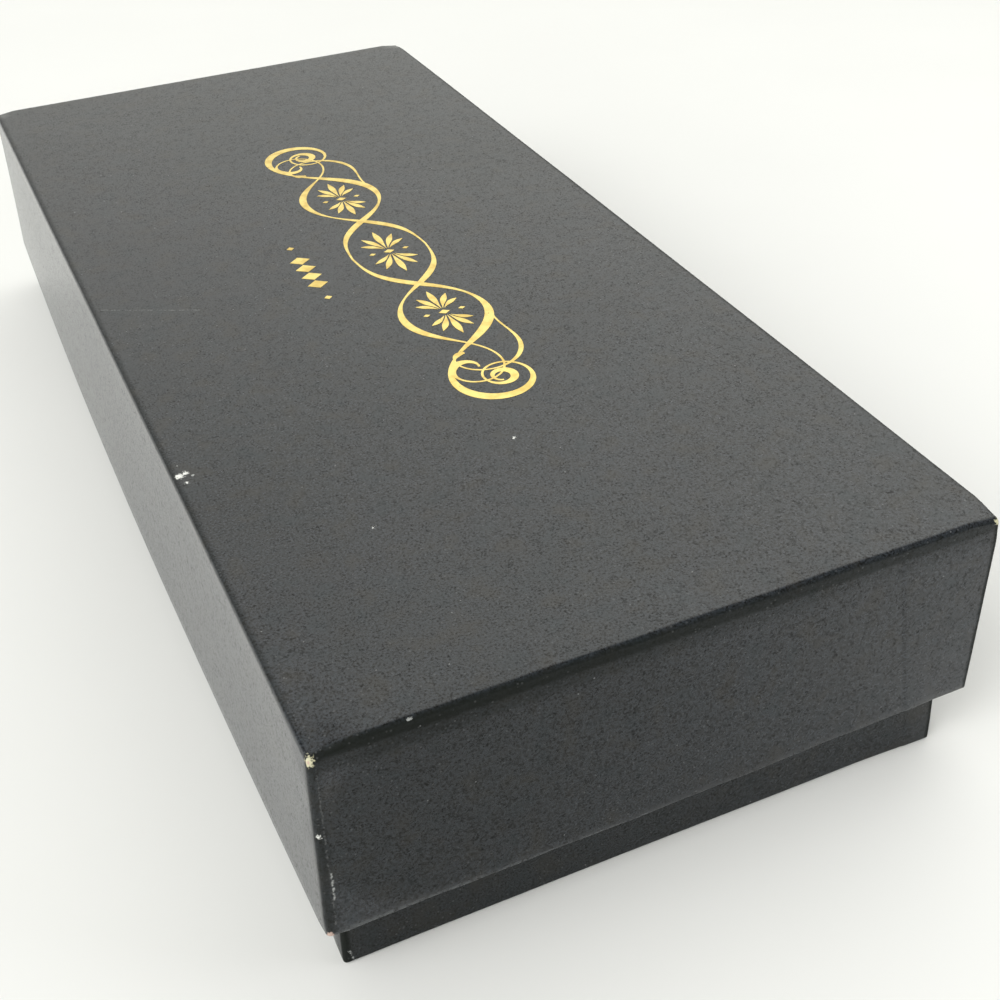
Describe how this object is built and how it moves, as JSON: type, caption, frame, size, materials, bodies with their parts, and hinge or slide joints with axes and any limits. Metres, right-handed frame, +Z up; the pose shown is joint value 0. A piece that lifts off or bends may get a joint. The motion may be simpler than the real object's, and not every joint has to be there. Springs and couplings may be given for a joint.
{
  "type": "calligraphy set box",
  "caption": "Flat paper-covered gift case with a lift-off lid, and a cut foam insert holding a dip pen, spare nibs, a pen rest and an ink bottle.",
  "frame": {"origin": "on the table, under the middle of the closed case's outline", "axes": "+X across the case, +Y along it away from the short end that faces the viewer, +Z up, the way the lid lifts"},
  "size_m": [0.11, 0.25, 0.046],
  "materials": {
    "black_paper": "matte black covering paper with a fine grain, gold foil on top",
    "lining_paper": "plain black lining paper",
    "grey_board": "raw grey board",
    "gummed_tape": "brown gummed paper tape",
    "foam": "black closed-cell foam",
    "flock": "black flocked cloth",
    "walnut": "dark turned wood, satin",
    "beech": "pale planed wood",
    "brass": "polished brass",
    "steel": "spring steel",
    "glass": "clear bottle glass",
    "ink": "black ink, a liquid",
    "cap": "moulded black cap",
    "liner": "white foamed liner"
  },
  "bodies": {
    "base": {"base_board": "grey_board", "base_corner_stays": "gummed_tape", "base_side_wrap": "black_paper", "base_bottom_sheet": "black_paper", "base_lining": "lining_paper", "insert_floor_pad": "foam", "insert_lower_foam": "foam", "insert_upper_foam": "foam", "insert_flock_sheet": "flock", "nib_tray": "beech"},
    "lid": {"lid_wrap": "black_paper", "lid_board": "grey_board", "lid_corner_stays": "gummed_tape", "lid_lining": "lining_paper"},
    "pen": {"pen_handle": "walnut", "pen_ferrule": "brass", "pen_clip": "steel"},
    "fitted_nib": {"fitted_nib": "steel"},
    "ink_bottle": {"ink_bottle_glass": "glass", "ink_fill": "ink"},
    "ink_cap_liner": {"ink_cap_liner": "liner"},
    "ink_cap": {"ink_cap": "cap"},
    "pen_rest": {"pen_rest": "brass"},
    "spare_nib_1": {"spare_nib_1": "steel"},
    "spare_nib_2": {"spare_nib_2": "steel"},
    "spare_nib_3": {"spare_nib_3": "steel"},
    "spare_nib_4": {"spare_nib_4": "steel"},
    "spare_nib_5": {"spare_nib_5": "steel"}
  },
  "joints": [
    {"name": "lid_lift", "type": "slide", "parent": "base", "child": "lid", "axis": [0, 0, 1], "range_m": [0, 0.12]},
    {"name": "pen_lift", "type": "slide", "parent": "base", "child": "pen", "axis": [0, 0, 1], "range_m": [0, 0.012]},
    {"name": "nib_pull", "type": "slide", "parent": "pen", "child": "fitted_nib", "axis": [0, 1, 0], "range_m": [0, 0.012]},
    {"name": "bottle_lift", "type": "slide", "parent": "base", "child": "ink_bottle", "axis": [0, 0, 1], "range_m": [0, 0.009]},
    {"name": "cap_rise", "type": "slide", "parent": "ink_bottle", "child": "ink_cap_liner", "axis": [0, -1, 0], "range_m": [0, 0.0046]},
    {"name": "cap_turn", "type": "hinge", "parent": "ink_cap_liner", "child": "ink_cap", "pos_m": [0.014, 0.0334, 0.01875], "axis": [0, -1, 0], "range_deg": [0, 540]},
    {"name": "rest_lift", "type": "slide", "parent": "base", "child": "pen_rest", "axis": [0, 0, 1], "range_m": [0, 0.012]},
    {"name": "nib_1_lift", "type": "slide", "parent": "base", "child": "spare_nib_1", "axis": [0, 0, 1], "range_m": [0, 0.009]},
    {"name": "nib_2_lift", "type": "slide", "parent": "base", "child": "spare_nib_2", "axis": [0, 0, 1], "range_m": [0, 0.009]},
    {"name": "nib_3_lift", "type": "slide", "parent": "base", "child": "spare_nib_3", "axis": [0, 0, 1], "range_m": [0, 0.009]},
    {"name": "nib_4_lift", "type": "slide", "parent": "base", "child": "spare_nib_4", "axis": [0, 0, 1], "range_m": [0, 0.009]},
    {"name": "nib_5_lift", "type": "slide", "parent": "base", "child": "spare_nib_5", "axis": [0, 0, 1], "range_m": [0, 0.009]}
  ],
  "couplings": [
    {"joint": "cap_rise", "follows": "cap_turn", "m_per_rad": 0.00047746}
  ]
}
